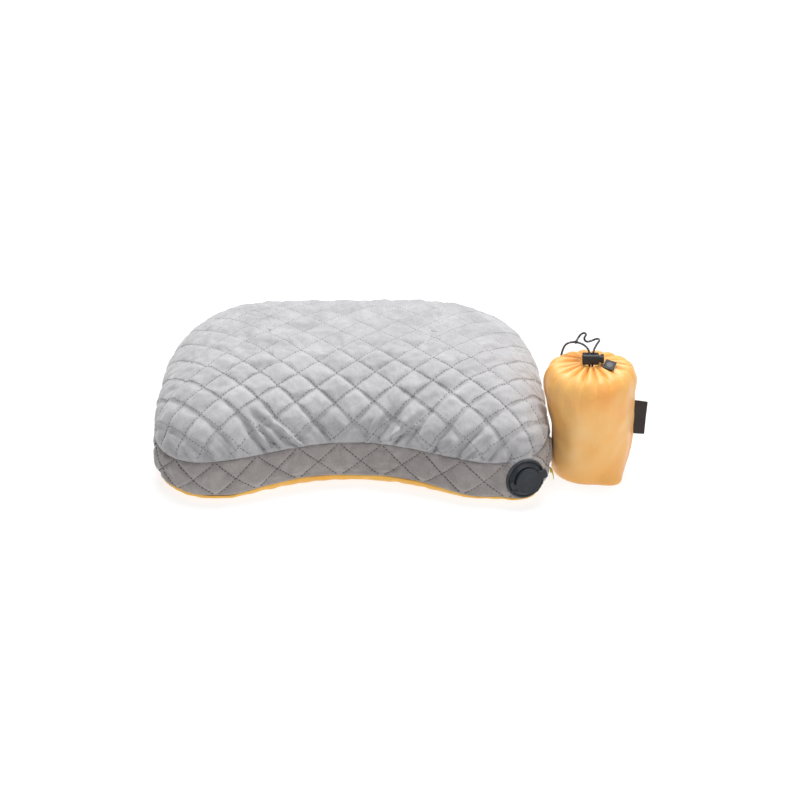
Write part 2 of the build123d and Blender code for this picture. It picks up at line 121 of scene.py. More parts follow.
# ---- material helpers
class Nodes:
    """A material's node tree, built a node at a time."""

    def __init__(self, name):
        self.material = bpy.data.materials.new(name)
        self.material.use_nodes = True
        self.tree = self.material.node_tree
        self.shader = self.tree.nodes["Principled BSDF"]
        self.place = self.add("ShaderNodeTexCoord").outputs["Object"]

    def add(self, kind, inputs=(), **settings):
        """A node with its settings, and with its sockets set to values or linked to outputs."""
        node = self.tree.nodes.new(kind)
        for key, value in settings.items():
            setattr(node, key, value)
        for key, value in dict(inputs).items():
            self.feed(node.inputs[key], value)
        return node

    def feed(self, socket, value):
        if isinstance(value, bpy.types.NodeSocket):
            self.tree.links.new(value, socket)
        elif socket.type == "RGBA":
            socket.default_value = (*value, 1.0)
        else:
            socket.default_value = value

    def set(self, **values):
        for key, value in values.items():
            self.shader.inputs[key.replace("_", " ")].default_value = value

    def mapping(self, scale=(1, 1, 1), turn=(0, 0, 0)):
        sockets = {"Scale": scale, "Rotation": turn, "Vector": self.place}
        return self.add("ShaderNodeMapping", sockets).outputs["Vector"]

    def noise(self, scale, detail=3.0, roughness=0.55, place=None, distortion=0.0):
        sockets = {"Scale": scale, "Detail": detail, "Roughness": roughness, "Distortion": distortion,
                   "Vector": place or self.place}
        return self.add("ShaderNodeTexNoise", sockets).outputs["Fac"]

    def wave(self, scale, place, distortion=0.0):
        sockets = {"Scale": scale, "Distortion": distortion, "Vector": place}
        return self.add("ShaderNodeTexWave", sockets).outputs["Fac"]

    def ramp(self, value, *stops):
        node = self.add("ShaderNodeValToRGB", {"Fac": value})
        ramp = node.color_ramp
        while len(ramp.elements) < len(stops):
            ramp.elements.new(0.5)
        for element, (place, colour) in zip(ramp.elements, stops):
            element.position = place
            element.color = (*colour, 1.0)
        return node.outputs["Color"]

    def math(self, operation, first, second):
        return self.add("ShaderNodeMath", {0: first, 1: second}, operation=operation).outputs[0]

    def mix(self, factor, first, second, blend="MIX"):
        sockets = {"Factor": factor, 6: first, 7: second}       # 6 and 7 are its two colours
        return self.add("ShaderNodeMix", sockets, data_type="RGBA", blend_type=blend).outputs[2]

    def times(self, first, second):
        return self.mix(1.0, first, second, "MULTIPLY")

    def colour(self, output):
        self.feed(self.shader.inputs["Base Color"], output)

    def rough(self, value, low, high):
        node = self.add("ShaderNodeMapRange", {"To Min": low, "To Max": high, "Value": value})
        self.feed(self.shader.inputs["Roughness"], node.outputs["Result"])

    def bump(self, *heights):
        """Bumps one over another: pairs of a height and how deep it is, in metres."""
        normal = None
        for value, depth in heights:
            node = self.add("ShaderNodeBump", {"Strength": 1.0, "Distance": depth, "Height": value})
            if normal is not None:
                self.feed(node.inputs["Normal"], normal)
            normal = node.outputs["Normal"]
        self.feed(self.shader.inputs["Normal"], normal)


WHITE = (1.0, 1.0, 1.0, 1.0)


def grey(value):
    return (value, value, value)


def srgb(r, g, b):
    def linear(value):
        value = value / 255
        return value / 12.92 if value <= 0.04045 else ((value + 0.055) / 1.055) ** 2.4

    return (linear(r), linear(g), linear(b))


def floor_material():
    n = Nodes("floor_pale")
    n.colour(n.ramp(n.noise(9.0), (0.3, grey(0.24)), (0.7, grey(0.26))))
    n.set(Roughness=0.9, Emission_Color=WHITE, Emission_Strength=0.80)
    return n.material


def suede(name, dark, light):
    """Brushed microfibre: short nap that lies a little differently from place to place."""
    n = Nodes(name)
    nap = n.noise(38.0, 4.0, 0.6, distortion=0.6)
    grain = n.noise(1500.0, 3.0, 0.7)
    combed = n.noise(420.0, 3.0, 0.65, place=n.mapping((1.0, 0.35, 1.0), (0, 0, 0.6)))
    base = n.ramp(nap, (0.30, dark), (0.70, light))
    speckle = n.ramp(grain, (0.30, (0.80, 0.80, 0.81)), (0.62, grey(1.0)))
    streak = n.ramp(combed, (0.28, grey(0.90)), (0.66, grey(1.0)))
    n.colour(n.times(n.times(base, speckle), streak))
    n.rough(combed, 0.82, 1.0)
    n.set(Sheen_Weight=0.5, Sheen_Roughness=0.5, Sheen_Tint=WHITE, Specular_IOR_Level=0.18)
    n.bump((grain, 0.00022), (combed, 0.00030), (nap, 0.0006))
    return n.material


def nylon(name, dark, mid, light, gloss=0.38, translucent=0.0, coating=0.0):
    """Fine plain-woven nylon with a soft satin sheen and small creases."""
    n = Nodes(name)
    weave_a = n.wave(900.0, n.mapping(turn=(0.3, 0.2, 0.1)))
    weave_b = n.wave(900.0, n.mapping(turn=(0.3, 0.2, 1.67)))
    weave = n.math("MULTIPLY", weave_a, weave_b)
    creases = n.noise(46.0, 5.0, 0.6, distortion=1.2)
    cloud = n.noise(14.0, 2.0)
    base = n.ramp(cloud, (0.25, dark), (0.5, mid), (0.78, light))
    n.colour(n.times(base, n.ramp(weave, (0.0, (0.90, 0.88, 0.86)), (0.5, grey(1.0)))))
    n.rough(creases, gloss, gloss + 0.22)
    n.set(Sheen_Weight=0.12, Sheen_Roughness=0.4, Coat_Weight=coating, Coat_Roughness=0.42)
    n.set(Subsurface_Weight=translucent, Subsurface_Radius=(0.004, 0.0022, 0.001))
    n.bump((weave, 0.00006), (creases, 0.0009))
    return n.material


def moulded(name, colour, worn, gloss):
    """Matte moulded plastic: fine spark texture, rubbed lighter and smoother in places."""
    n = Nodes(name)
    wear = n.noise(150.0, 5.0, 0.6)
    grain = n.noise(1400.0, 2.0, 0.6)
    n.colour(n.mix(n.ramp(wear, (0.45, grey(0)), (0.75, grey(1))), colour, worn))
    n.rough(wear, gloss, gloss + 0.2)
    n.set(Specular_IOR_Level=0.45)
    n.bump((grain, 0.00005), (wear, 0.00006))
    return n.material


def rubber(name, colour):
    n = Nodes(name)
    cloud = n.noise(260.0, 4.0)
    n.colour(n.ramp(cloud, (0.3, tuple(c * 0.8 for c in colour)), (0.7, colour)))
    n.rough(cloud, 0.42, 0.62)
    n.bump((cloud, 0.00004))
    return n.material


def metal(name, colour, polish):
    n = Nodes(name)
    drawn = n.noise(700.0, 4.0, 0.6, place=n.mapping((1.0, 1.0, 0.15)))
    n.colour(n.ramp(drawn, (0.3, tuple(c * 0.85 for c in colour)), (0.7, colour)))
    n.rough(drawn, polish, polish + 0.15)
    n.set(Metallic=1.0)
    n.bump((drawn, 0.00002))
    return n.material


def braid(name, dark, light):
    """Braided cord: two crossing sets of yarns, with pale flecks."""
    n = Nodes(name)
    one = n.wave(260.0, n.mapping(turn=(0.5, 0.4, 0.8)), 1.5)
    other = n.wave(260.0, n.mapping(turn=(-0.6, 0.5, -0.7)), 1.5)
    yarn = n.math("MULTIPLY", one, other)
    fleck = n.noise(900.0, 2.0, 0.6)
    base = n.ramp(yarn, (0.0, tuple(c * 0.5 for c in dark)), (0.5, dark))
    n.colour(n.mix(n.ramp(fleck, (0.60, grey(0)), (0.66, grey(1))), base, light))
    n.set(Roughness=0.8, Sheen_Weight=0.3)
    n.bump((yarn, 0.0003), (fleck, 0.00008))
    return n.material


def woven(name, colour, shade, pitch):
    """Woven tape or label: ribs one way, finer yarns across."""
    n = Nodes(name)
    ribs = n.wave(pitch, n.mapping(turn=(0.0, 1.5708, 0.0)))
    across = n.wave(pitch * 1.6, n.mapping(turn=(0, 0, 0.05)))
    cloth = n.math("ADD", n.math("MULTIPLY", ribs, 0.65), n.math("MULTIPLY", across, 0.35))
    cloud = n.noise(210.0, 4.0)
    base = n.ramp(cloth, (0.15, shade), (0.65, colour))
    n.colour(n.times(base, n.ramp(cloud, (0.3, grey(0.78)), (0.7, grey(1)))))
    n.set(Roughness=0.72, Sheen_Weight=0.2)
    n.bump((cloth, 0.00012), (cloud, 0.0002))
    return n.material


def thread(name, dark, light):
    n = Nodes(name)
    twist = n.wave(1500.0, n.mapping(turn=(0.4, 0.7, 0.8)), 2.0)
    n.colour(n.ramp(twist, (0.2, dark), (0.8, light)))
    n.set(Roughness=0.7, Sheen_Weight=0.2)
    n.bump((twist, 0.0001))
    return n.material


# ---- mesh helpers
def link_mesh(name, points, faces, material):
    mesh = bpy.data.meshes.new(name)
    mesh.from_pydata([tuple(p) for p in points], [], [tuple(f) for f in faces])
    mesh.shade_smooth()
    mesh.update()
    obj = bpy.data.objects.new(name, mesh)
    bpy.context.collection.objects.link(obj)
    obj.data.materials.append(material)
    return obj


def grid_faces(rows, columns, wrap=True):
    """Faces of a grid of points, numbered row by row, closed round its columns if wrap is set."""
    faces = []
    last = columns if wrap else columns - 1
    for row in range(rows - 1):
        for column in range(last):
            after = (column + 1) % columns
            faces.append((row * columns + column, (row + 1) * columns + column,
                          (row + 1) * columns + after, row * columns + after))
    return faces


def tube_faces(rings, sides, start=0):
    """The side faces and two end caps of a tube, its points numbered ring by ring."""
    faces = []
    end = start + (rings - 1) * sides
    for ring in range(start, end, sides):
        for side in range(sides):
            after = (side + 1) % sides
            faces.append((ring + side, ring + after, ring + sides + after, ring + sides + side))
    return faces + [tuple(start + i for i in reversed(range(sides))), tuple(end + i for i in range(sides))]


def surface_of(*names):
    """The surfaces of CAD nodes, to cast rays at."""
    points = []
    faces = []
    for name in names:
        mesh = frame["nodes"][name].data
        start = len(points)
        points += [v.co.copy() for v in mesh.vertices]
        faces += [[start + i for i in p.vertices] for p in mesh.polygons]
    return BVHTree.FromPolygons(points, faces)


def wrapped_normals(grid):
    """Unit normals of a grid that is closed round its columns. Rows run up, columns run clockwise."""
    along = np.roll(grid, -1, axis=1) - np.roll(grid, 1, axis=1)
    up = np.gradient(grid, axis=0)
    normals = np.cross(up, along)
    size = np.linalg.norm(normals, axis=2, keepdims=True)
    return np.where(size > 1e-12, normals / np.maximum(size, 1e-12), (0.0, 0.0, 1.0))


def smoothed(grid, times):
    """A grid that is closed round its columns, relaxed with its first and last rows held."""
    for _ in range(times):
        beside = (np.roll(grid, 1, axis=1) + np.roll(grid, -1, axis=1)) / 2
        grid = grid * 0.5 + beside * 0.5
        inner = grid.copy()
        inner[1:-1] = grid[1:-1] * 0.5 + (grid[:-2] + grid[2:]) * 0.25
        grid = inner
    return grid


def arc_up(grid):
    """Distance of each point from its column's first, along the column."""
    steps = np.linalg.norm(np.diff(grid, axis=0), axis=2)
    return np.vstack([np.zeros(grid.shape[1]), np.cumsum(steps, axis=0)])


def arc_down(grid):
    """Distance of each point from its column's last, along the column."""
    steps = np.linalg.norm(np.diff(grid, axis=0), axis=2)
    return np.vstack([np.cumsum(steps[::-1], axis=0)[::-1], np.zeros(grid.shape[1])])


def resampled(grid, rows):
    """The same surface with its rows evenly spaced along each column."""
    reach = arc_up(grid)
    wanted = np.linspace(0, 1, rows)
    out = np.empty((rows, grid.shape[1], 3))
    for column in range(grid.shape[1]):
        share = reach[:, column] / reach[-1, column]
        for axis in range(3):
            out[:, column, axis] = np.interp(wanted, share, grid[:, column, axis])
    return out


def doubled(grid):
    """A grid with a row and a column put in between each pair."""
    rows, columns = grid.shape[:2]
    wide = np.empty((rows, columns * 2, 3))
    wide[:, 0::2] = grid
    wide[:, 1::2] = (grid + np.roll(grid, -1, axis=1)) / 2
    tall = np.empty((rows * 2 - 1, columns * 2, 3))
    tall[0::2] = wide
    tall[1::2] = (wide[:-1] + wide[1:]) / 2
    return tall


def bell(distance, width):
    return np.exp(-((distance / width) ** 2))


def nearest_line(value, spacing):
    """Distance from the nearest of a family of evenly spaced lines."""
    return np.abs((value / spacing + 0.5) % 1.0 - 0.5) * spacing


# ---- pillow
END_COLUMNS = 150           # columns round each end, and along each straight side
SIDE_COLUMNS = 58
TOP_ROWS = 56
BAND_ROWS = 17
BASE_ROWS = 20
BASE_EDGE_ROWS = 5          # of them, those on the base's upright edge
BASE_EDGE_Z = 1.5 * MM      # where that edge starts
RISE_STEPS = 60             # rays cast up each column of the top panel


def ridge_columns():
    """Where each column starts on the ridge line, and which way it goes in plan."""
    starts = []
    ways = []
    for i in range(END_COLUMNS):
        angle = math.pi * (0.5 - i / END_COLUMNS)
        starts.append((RIDGE_HALF, RIDGE_Y))
        ways.append((math.cos(angle), math.sin(angle)))
    for i in range(SIDE_COLUMNS):
        starts.append((RIDGE_HALF - 2 * RIDGE_HALF * i / SIDE_COLUMNS, RIDGE_Y))
        ways.append((0.0, -1.0))
    for i in range(END_COLUMNS):
        angle = -math.pi * (0.5 + i / END_COLUMNS)
        starts.append((-RIDGE_HALF, RIDGE_Y))
        ways.append((math.cos(angle), math.sin(angle)))
    for i in range(SIDE_COLUMNS):
        starts.append((-RIDGE_HALF + 2 * RIDGE_HALF * i / SIDE_COLUMNS, RIDGE_Y))
        ways.append((0.0, 1.0))
    return np.array(starts), np.array(ways)


port = Vector(record_mounts["inflation_port"]["pos_m"])
BEZEL_DEPTH = 3.8 * MM      # from the port mount's middle down to the plane under the bezel
valve_centre = port - valve_axis * BEZEL_DEPTH
PAD_R = 22.5 * MM           # the fabric lies flat on a pad this far out from the valve's axis
PAD_DROP = 0.5 * MM
HOLE_R = 17.0 * MM          # and is cut away for the collar
BEZEL_R = 21.0 * MM
BEZEL_RUN = (20 * MM, 30 * MM)      # where the flat pad starts to run out, and where it has
VALVE_NEAR = 20 * MM        # nothing further along the axis belongs to the valve's corner


def valve_reach(points):
    """Height over the valve's plane and distance from its axis, for an array of points."""
    offset = points - np.array(valve_centre)
    height = offset @ np.array(valve_axis)
    radius = np.linalg.norm(offset - height[..., None] * np.array(valve_axis), axis=-1)
    return height, radius


def cast(skin, target, way):
    """The outermost point of a surface on the line through target, seen from the far end of way."""
    start = target + way * FAR
    hit = skin.ray_cast(start, -way, FAR * 1.2)[0]
    facing = way.dot(valve_axis)
    if facing > 0.2:
        reach = (start - valve_centre + valve_axis * PAD_DROP).dot(valve_axis) / facing
        on_pad = start - way * reach
        if (on_pad - valve_centre).length < PAD_R:
            return on_pad
    return hit


def pillow_grid():
    """The whole pillow as one closed grid of rows, from the middle of its underside to its crown."""
    skin = surface_of("top_cover", "side_band", "bottom_cover")
    starts, ways = ridge_columns()
    base = []
    band = []
    top = []
    for start, way in zip(starts, ways):
        out = Vector((way[0], way[1], 0))
        heights = np.linspace(SEAM_LOW, SEAM_HIGH, BAND_ROWS)
        band.append([cast(skin, Vector((*start, z)), out) for z in heights])
        foot = cast(skin, Vector((*start, BASE_EDGE_Z)), out)
        rim = (foot.xy - Vector(start)).length
        flat = [Vector((start[0] + way[0] * rim * s, start[1] + way[1] * rim * s, 0))
                for s in np.linspace(0, 0.985, BASE_ROWS - BASE_EDGE_ROWS)]
        edge_heights = np.linspace(BASE_EDGE_Z, SEAM_LOW, BASE_EDGE_ROWS)
        sides = [cast(skin, Vector((*start, z)), out) for z in edge_heights]
        base.append(flat + sides)
        middle = Vector((*start, SEAM_HIGH))
        rise = []
        for angle in np.linspace(0, math.pi / 2, RISE_STEPS):
            rise.append(cast(skin, middle, out * math.cos(angle) + Vector((0, 0, math.sin(angle)))))
        top.append(rise)
    base, band, top = (np.array([[tuple(p) for p in column] for column in columns]).transpose(1, 0, 2)
                       for columns in (base, band, top))
    top = resampled(top, TOP_ROWS)
    whole = np.concatenate([base, band[1:], top[1:]])
    whole[1:-1] = smoothed(whole, 3)[1:-1]
    return whole


def flat_places(top):
    """Where the top panel's points lie when it is laid flat, from arc lengths off the ridge."""
    starts, ways = ridge_columns()
    if top.shape[1] == 2 * len(starts):
        starts = np.repeat(starts, 2, axis=0)
        starts[1::2] = (starts[0::2] + np.roll(starts[0::2], -1, axis=0)) / 2
        ways = np.repeat(ways, 2, axis=0)
        ways[1::2] = ways[0::2] + np.roll(ways[0::2], -1, axis=0)
        ways /= np.linalg.norm(ways, axis=1, keepdims=True)
    return starts[None] + ways[None] * arc_down(top)[..., None]


def quilt_distances(flat):
    u = (flat[..., 0] + flat[..., 1]) / math.sqrt(2)
    w = (flat[..., 0] - flat[..., 1]) / math.sqrt(2)
    return nearest_line(u, QUILT_U), nearest_line(w - QUILT_W_START, QUILT_W)


def along_seam(row):
    """Distance along a closed row from the diamond crossing at the front, and the row's length."""
    steps = np.linalg.norm(np.roll(row, -1, axis=0) - row, axis=1)
    reach = np.concatenate([[0], np.cumsum(steps)])
    front = (row[:, 1] < 0) & (np.abs(row[:, 0]) < RIDGE_HALF)
    nearest = np.argmin(np.where(front, np.abs(row[:, 0] - BAND_START_X), 9.0))
    return reach[:-1] - reach[nearest], reach[-1]


def band_distances(band):
    """Distance of each point of the side band from its two families of stitch lines."""
    around, length = along_seam(band[-1])
    period = length / round(length / BAND_PERIOD)
    fall = (SEAM_HIGH - band[..., 2]) / (SEAM_HIGH - SEAM_LOW) * period
    slant = math.sqrt(0.5)
    first = nearest_line(around[None] + fall, period) * slant
    second = nearest_line(around[None] - fall, period) * slant
    return first, second


SWELL_CAP = 5 * MM          # how far the simulation may move the top panel, and the side band
SWELL_CAP_SIDE = 2 * MM
SWELL_FRAMES = 20
HOLD_WIDTH = 2.2 * MM       # a stitch line holds the cloth this far to each side
HOLD_STITCHES = 0.55        # and this much, where 1 is fixed
HOLD_CROWN = 0.8
HOLD_VALVE = 24 * MM        # all is fixed this far out from the valve's axis
HOLD_LEVELS = 20


def simulate(whole, top_start, band_start):
    """Blows the cover up a little with Cloth, held at its seams, its stitch lines and the valve."""
    rows, columns = whole.shape[:2]
    points = whole.reshape(-1, 3)
    _, first, welded = np.unique(np.round(points, 6), axis=0, return_index=True, return_inverse=True)
    welded = welded.ravel()
    faces = [list(dict.fromkeys(int(welded[i]) for i in face)) for face in grid_faces(rows, columns)]
    mesh = bpy.data.meshes.new("cloth_form")
    mesh.from_pydata([tuple(p) for p in points[first]], [], [f for f in faces if len(f) > 2])
    form = bpy.data.objects.new("cloth_form", mesh)
    bpy.context.collection.objects.link(form)
    hold = np.zeros((rows, columns))
    one, other = quilt_distances(flat_places(whole[top_start:]))
    hold[top_start:] = np.maximum(bell(one, HOLD_WIDTH), bell(other, HOLD_WIDTH))
    one, other = band_distances(whole[band_start:top_start + 1])
    hold[band_start:top_start + 1] = np.maximum(bell(one, HOLD_WIDTH), bell(other, HOLD_WIDTH))
    hold *= HOLD_STITCHES
    hold[:band_start + 1] = 1.0
    hold[top_start] = 1.0
    hold[-1] = HOLD_CROWN
    _, from_valve = valve_reach(whole)
    hold = np.where(from_valve < HOLD_VALVE, 1.0, hold)
    group = form.vertex_groups.new(name="hold")
    for step in range(1, HOLD_LEVELS + 1):
        chosen = np.nonzero(np.round(hold.ravel()[first] * HOLD_LEVELS) == step)[0]
        group.add([int(i) for i in chosen], step / HOLD_LEVELS, "REPLACE")
    cloth = form.modifiers.new("cloth", "CLOTH")
    settings = cloth.settings
    settings.quality = 5
    settings.mass = 0.12
    settings.tension_stiffness = 12
    settings.compression_stiffness = 8
    settings.shear_stiffness = 4
    settings.bending_stiffness = 0.3
    settings.use_pressure = True
    settings.uniform_pressure_force = 4.0
    settings.shrink_min = -0.035
    settings.vertex_group_mass = "hold"
    settings.effector_weights.gravity = 0.0
    cloth.collision_settings.use_collision = False
    scene = bpy.context.scene
    for number in range(1, SWELL_FRAMES + 1):
        scene.frame_set(number)
    shown = form.evaluated_get(bpy.context.evaluated_depsgraph_get())
    moved = np.empty(len(first) * 3)
    shown.data.vertices.foreach_get("co", moved)
    moved = moved.reshape(-1, 3)[welded].reshape(rows, columns, 3)
    scene.frame_set(1)
    bpy.data.objects.remove(form)
    shift = moved - whole
    size = np.linalg.norm(shift, axis=2, keepdims=True)
    cap = np.full(whole.shape[:2] + (1,), SWELL_CAP)
    cap[:top_start] = SWELL_CAP_SIDE
    shift *= np.minimum(1.0, cap / np.maximum(size, 1e-9))
    return whole + shift


# each pucker's x at the front seam, x where it dies out, length up the panel and crest, in millimetres
PUCKERS = (
    (-73, -106, 48, 5.2), (-44, -92, 46, 4.8), (-60, -84, 32, 3.0), (-47, -70, 24, 2.6),
    (-118, -139, 20, 2.6),
    (-100, -117, 22, 2.6), (-22, -38, 20, 1.6), (14, 34, 36, 3.0), (34, 66, 40, 4.4), (26, 62, 24, 3.0),
    (66, 88, 16, 2.2), (84, 116, 30, 2.2), (100, 122, 22, 3.6), (122, 139, 20, 3.6), (141, 153, 20, 3.0),
    (-138, -157, 16, 1.8), (-152, -169, 18, 1.6),
)

PUCKER_DEPTH = 1.25         # the crests are taken this many times higher
PULL_DEPTH = 2.6 * MM       # stitch lines that lean away from the middle are drawn in by the front seam
PULL_REACH = 26 * MM
PULL_Y = -55 * MM           # it does so only this far forward, and not in the middle or at the ends
PULL_FADE = 25 * MM
PULL_END_X = 150 * MM
QUILT_CROWN = 9 * MM        # a square is fully puffed this far in from its stitch lines


def seam_pull(top, one, other, near_seam):
    """The front seam draws the stitch lines that run into it down into folds."""
    x, y = top[..., 0], top[..., 1]
    drawn = np.where(x < 0, one, other)
    front = np.clip((PULL_Y - y) / PULL_FADE, 0, 1) * np.clip(np.abs(x - 5 * MM) / (30 * MM), 0, 1)
    front *= np.clip((PULL_END_X - np.abs(x)) / PULL_FADE, 0, 1)
    fold = 0.45 * np.clip(drawn / QUILT_CROWN, 0, 1) - bell(drawn, 2.0 * MM)
    near = np.exp(-near_seam / PULL_REACH) * np.clip(near_seam / (3 * MM), 0, 1)
    return PULL_DEPTH * fold * front * near


def pucker_height(top):
    """Height of the puckers that the tight front seam draws up in the top panel."""
    up = arc_up(top)
    x = np.broadcast_to(top[0][:, 0], up.shape)
    front = (top[0][:, 1] < -60 * MM)[None] & (up < 0.08)
    height = np.zeros(up.shape)
    for foot, head, length, crest in PUCKERS:
        foot, head, length, crest = foot * MM, head * MM, length * MM, crest * MM
        share = np.clip(up / length, 0, 1)
        across = (x - (foot + (head - foot) * share)) * length / math.hypot(head - foot, length)
        width = (1.7 + 2.3 * share) * MM
        lee = 1.7 * width * math.copysign(1, head - foot)
        body = bell(across, width) - 0.8 * bell(across - lee, 0.8 * width)
        body = body - 0.25 * bell(across + lee, width)
        fade = np.clip(up / (3 * MM), 0, 1) * (1 - share) ** 0.7 * (up < length)
        height += PUCKER_DEPTH * crest * body * fade
    return np.where(front, height, 0)


def low_noise(points, scale, seed):
    """Smooth unevenness from a few fixed waves, between about -1 and 1."""
    draw = np.random.default_rng(seed)
    total = np.zeros(points.shape[:-1])
    for _ in range(7):
        way = draw.normal(size=3)
        way /= np.linalg.norm(way)
        along = points @ way * (2 * math.pi / scale)
        total += np.sin(along * draw.uniform(0.6, 1.5) + draw.uniform(0, 6.28))
    return total / 3.2


def quilt_relief(one, other, puff, groove):
    """Puffed squares with a narrow sunk stitch line between them."""
    near = np.minimum(one, other)
    swell = np.minimum(1.0, one / QUILT_CROWN) * np.minimum(1.0, other / QUILT_CROWN)
    swell = 1 - (1 - swell) ** 2
    return puff * (swell - 0.6) - groove * bell(near, 1.1 * MM)


BACK_RELIEF = 0.25          # share of the quilting's relief that is left at the back
RELIEF_FROM = 5 * MM        # it grows forward from here
RELIEF_RUN = 80 * MM        # and is full this much further on


def frontness(points):
    """The quilting is pulled flatter towards the back, where the air fills the cover tightly."""
    forward = np.clip((RELIEF_FROM - points[..., 1]) / RELIEF_RUN, 0, 1)
    return BACK_RELIEF + (1 - BACK_RELIEF) * forward


def seam_fall(distance, depth=1.2 * MM, width=1.7 * MM):
    """A panel's edge rolls in to its seam."""
    return -depth * bell(distance, width)


END_SWELL = 1.2 * MM        # the top panel bulges over the seam at the pillow's two ends
END_REACH = 16 * MM
END_TUCK = 3.5 * MM         # and the side band leans in under it there
LOBE_DROP = 5 * MM          # the low seam hangs lower at the two front lobes and at the ends
LOBE_X = 116 * MM
LOBE_REACH = 40 * MM
FLANK_X = 66 * MM           # between the middle and a lobe it hangs less
MIDDLE_DROP = 1.5 * MM      # the low seam at the middle of the front
SEAM_DROP = 4.5 * MM        # the high seam hangs a little lower than its CAD joint
LEFT_DROP = 3.5 * MM        # and lower still at the left end
VALVE_DROP = 2.5 * MM       # and towards the valve
VALVE_DROP_X = 138 * MM
DROP_REACH = 20 * MM        # how soon that dies out up the top panel
END_X = 110 * MM            # the ends start here
END_RUN = 50 * MM


def at_ends(grid):
    return np.clip((np.abs(grid[..., 0]) - END_X) / END_RUN, 0, 1)


def at_left_end(grid):
    return at_ends(grid) * (grid[..., 0] < 0)


def hang_seams(grid):
    """Moves both seams down to where they hang, and shares the change out over the panels beside them."""
    x, y, z = grid[..., 0], grid[..., 1], grid[..., 2]
    lobes = np.clip(bell(np.abs(x) - LOBE_X, LOBE_REACH) + at_ends(grid), 0, 1)
    flanks = 1 - 0.5 * bell(np.abs(x) - FLANK_X, 26 * MM) * (y < 0)
    low_drop = LOBE_DROP * lobes * flanks + MIDDLE_DROP * bell(x, 30 * MM) * (y < 0)
    high_drop = SEAM_DROP + LEFT_DROP * at_ends(grid) * (x < 0)
    high_drop = high_drop + VALVE_DROP * bell(x - VALVE_DROP_X, 45 * MM)
    under = np.where(z > SEAM_LOW, (SEAM_HIGH - z) / (SEAM_HIGH - SEAM_LOW), z / SEAM_LOW)
    over = np.where(z > SEAM_HIGH, np.exp(-np.maximum(z - SEAM_HIGH, 0) / DROP_REACH),
                    (z - SEAM_LOW) / (SEAM_HIGH - SEAM_LOW))
    z -= low_drop * np.clip(under, 0, 1) + high_drop * np.clip(over, 0, 1)


def open_round_valve(obj):
    """Takes away the faces inside the valve's collar."""
    inside = []
    for polygon in obj.data.polygons:
        place = np.array([obj.data.vertices[i].co[:] for i in polygon.vertices])
        height, radius = valve_reach(place)
        if radius.min() < HOLE_R and abs(height).max() < 15 * MM:
            inside.append(polygon.index)
    if not inside:
        return
    work = bmesh.new()
    work.from_mesh(obj.data)
    work.faces.ensure_lookup_table()
    bmesh.ops.delete(work, geom=[work.faces[i] for i in inside], context="FACES")
    work.to_mesh(obj.data)
    work.free()


def thicken(obj, thickness):
    solid = obj.modifiers.new("thickness", "SOLIDIFY")
    solid.thickness = thickness
    solid.offset = -1.0


def panel(name, grid, material, thickness=1.0 * MM, close_ridge=False):
    rows, columns = grid.shape[:2]
    obj = link_mesh(name, grid.reshape(-1, 3), grid_faces(rows, columns), material)
    if close_ridge:
        work = bmesh.new()
        work.from_mesh(obj.data)
        bmesh.ops.remove_doubles(work, verts=work.verts, dist=0.05 * MM)
        bmesh.ops.recalc_face_normals(work, faces=work.faces)
        work.to_mesh(obj.data)
        work.free()
        obj.data.shade_smooth()
    open_round_valve(obj)
    thicken(obj, thickness)
    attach(obj, "pillow")
    return obj


def settle_under_bezel(grid):
    """Holds the fabric under the bezel, and lets it run out smoothly round it."""
    height, radius = valve_reach(grid)
    near = np.clip((BEZEL_RUN[1] - radius) / (BEZEL_RUN[1] - BEZEL_RUN[0]), 0, 1)
    near = np.where(np.abs(height) < VALVE_NEAR, near, 0)
    sink = (-PAD_DROP - height) * (near * near * (3 - 2 * near))
    above = np.where(height > -PAD_DROP, sink, sink * (radius < BEZEL_R))
    return grid + above[..., None] * np.array(valve_axis)


